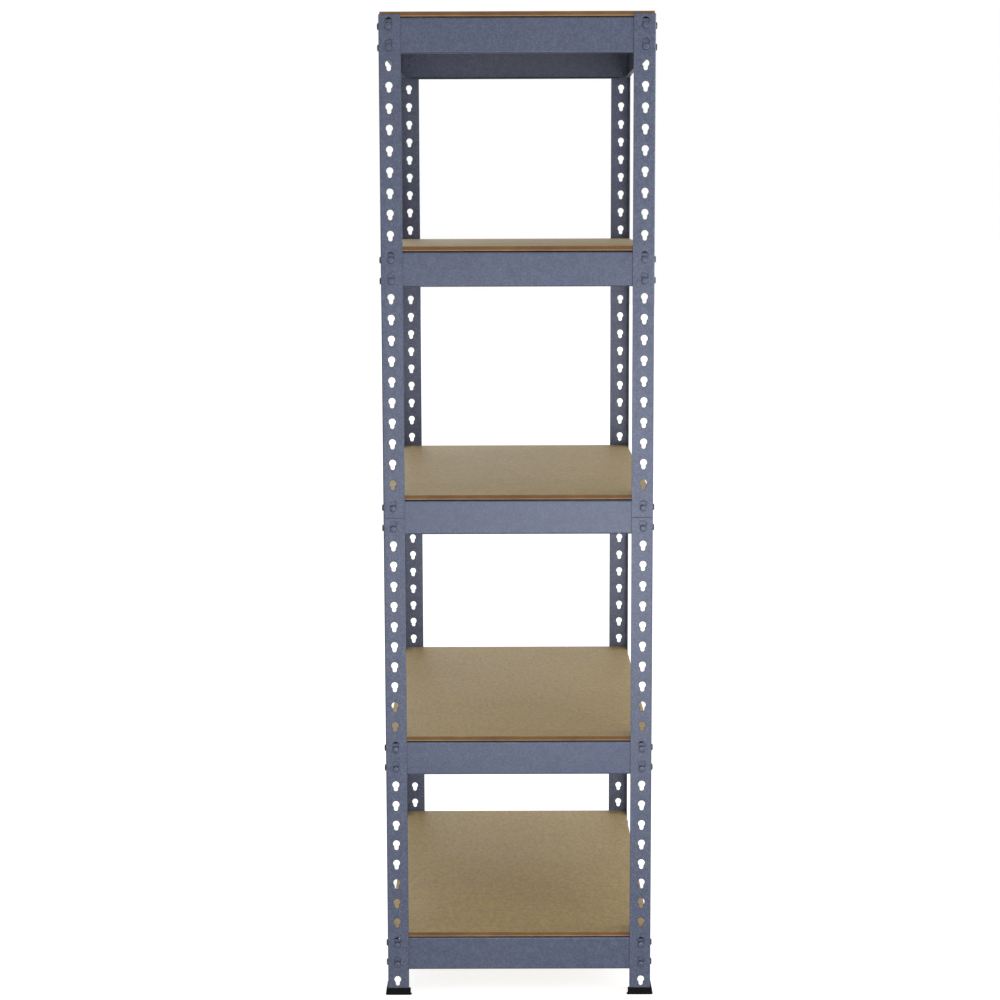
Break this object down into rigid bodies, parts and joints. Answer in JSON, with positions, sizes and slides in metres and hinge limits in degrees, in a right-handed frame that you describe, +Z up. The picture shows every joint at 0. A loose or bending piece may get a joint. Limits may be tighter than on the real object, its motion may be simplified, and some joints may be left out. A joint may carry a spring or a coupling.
{
  "type": "boltless steel shelving",
  "caption": "Tall boltless shelving rack: slotted steel angle posts in halves, folded beams hung by studs in keyholes, loose fibreboard shelves and black push-on feet.",
  "frame": {"origin": "on the floor, in the middle of the footprint", "axes": "+Z up, the front (narrow side) faces -Y, +X is the right-hand side seen from the front"},
  "size_m": [0.51, 0.91, 1.8365],
  "materials": {
    "painted_steel": "blue-grey hammertone powder coat, satin",
    "fibreboard": "raw medium density fibreboard, matt, with darker sawn edges",
    "black_plastic": "moulded black plastic, fine texture"
  },
  "bodies": {
    "frame": {"front_left_foot": "black_plastic", "front_right_foot": "black_plastic", "back_right_foot": "black_plastic", "back_left_foot": "black_plastic", "front_left_post_lower": "painted_steel", "front_left_post_upper": "painted_steel", "front_right_post_lower": "painted_steel", "front_right_post_upper": "painted_steel", "back_right_post_lower": "painted_steel", "back_right_post_upper": "painted_steel", "back_left_post_lower": "painted_steel", "back_left_post_upper": "painted_steel", "level_1_front_beam": "painted_steel", "level_1_right_beam": "painted_steel", "level_1_back_beam": "painted_steel", "level_1_left_beam": "painted_steel", "level_2_front_beam": "painted_steel", "level_2_right_beam": "painted_steel", "level_2_back_beam": "painted_steel", "level_2_left_beam": "painted_steel", "level_3_front_beam": "painted_steel", "level_3_right_beam": "painted_steel", "level_3_back_beam": "painted_steel", "level_3_left_beam": "painted_steel", "level_4_front_beam": "painted_steel", "level_4_right_beam": "painted_steel", "level_4_back_beam": "painted_steel", "level_4_left_beam": "painted_steel", "level_5_front_beam": "painted_steel", "level_5_right_beam": "painted_steel", "level_5_back_beam": "painted_steel", "level_5_left_beam": "painted_steel"},
    "level_1_board": {"level_1_board": "fibreboard"},
    "level_2_board": {"level_2_board": "fibreboard"},
    "level_3_board": {"level_3_board": "fibreboard"},
    "level_4_board": {"level_4_board": "fibreboard"},
    "level_5_board": {"level_5_board": "fibreboard"}
  },
  "joints": [
    {"name": "level_1_board_lift", "type": "slide", "parent": "frame", "child": "level_1_board", "axis": [0, 0, 1], "range_m": [0, 0.3]},
    {"name": "level_2_board_lift", "type": "slide", "parent": "frame", "child": "level_2_board", "axis": [0, 0, 1], "range_m": [0, 0.38]},
    {"name": "level_3_board_lift", "type": "slide", "parent": "frame", "child": "level_3_board", "axis": [0, 0, 1], "range_m": [0, 0.38]},
    {"name": "level_4_board_lift", "type": "slide", "parent": "frame", "child": "level_4_board", "axis": [0, 0, 1], "range_m": [0, 0.34]},
    {"name": "level_5_board_lift", "type": "slide", "parent": "frame", "child": "level_5_board", "axis": [0, 0, 1], "range_m": [0, 0.1]}
  ]
}
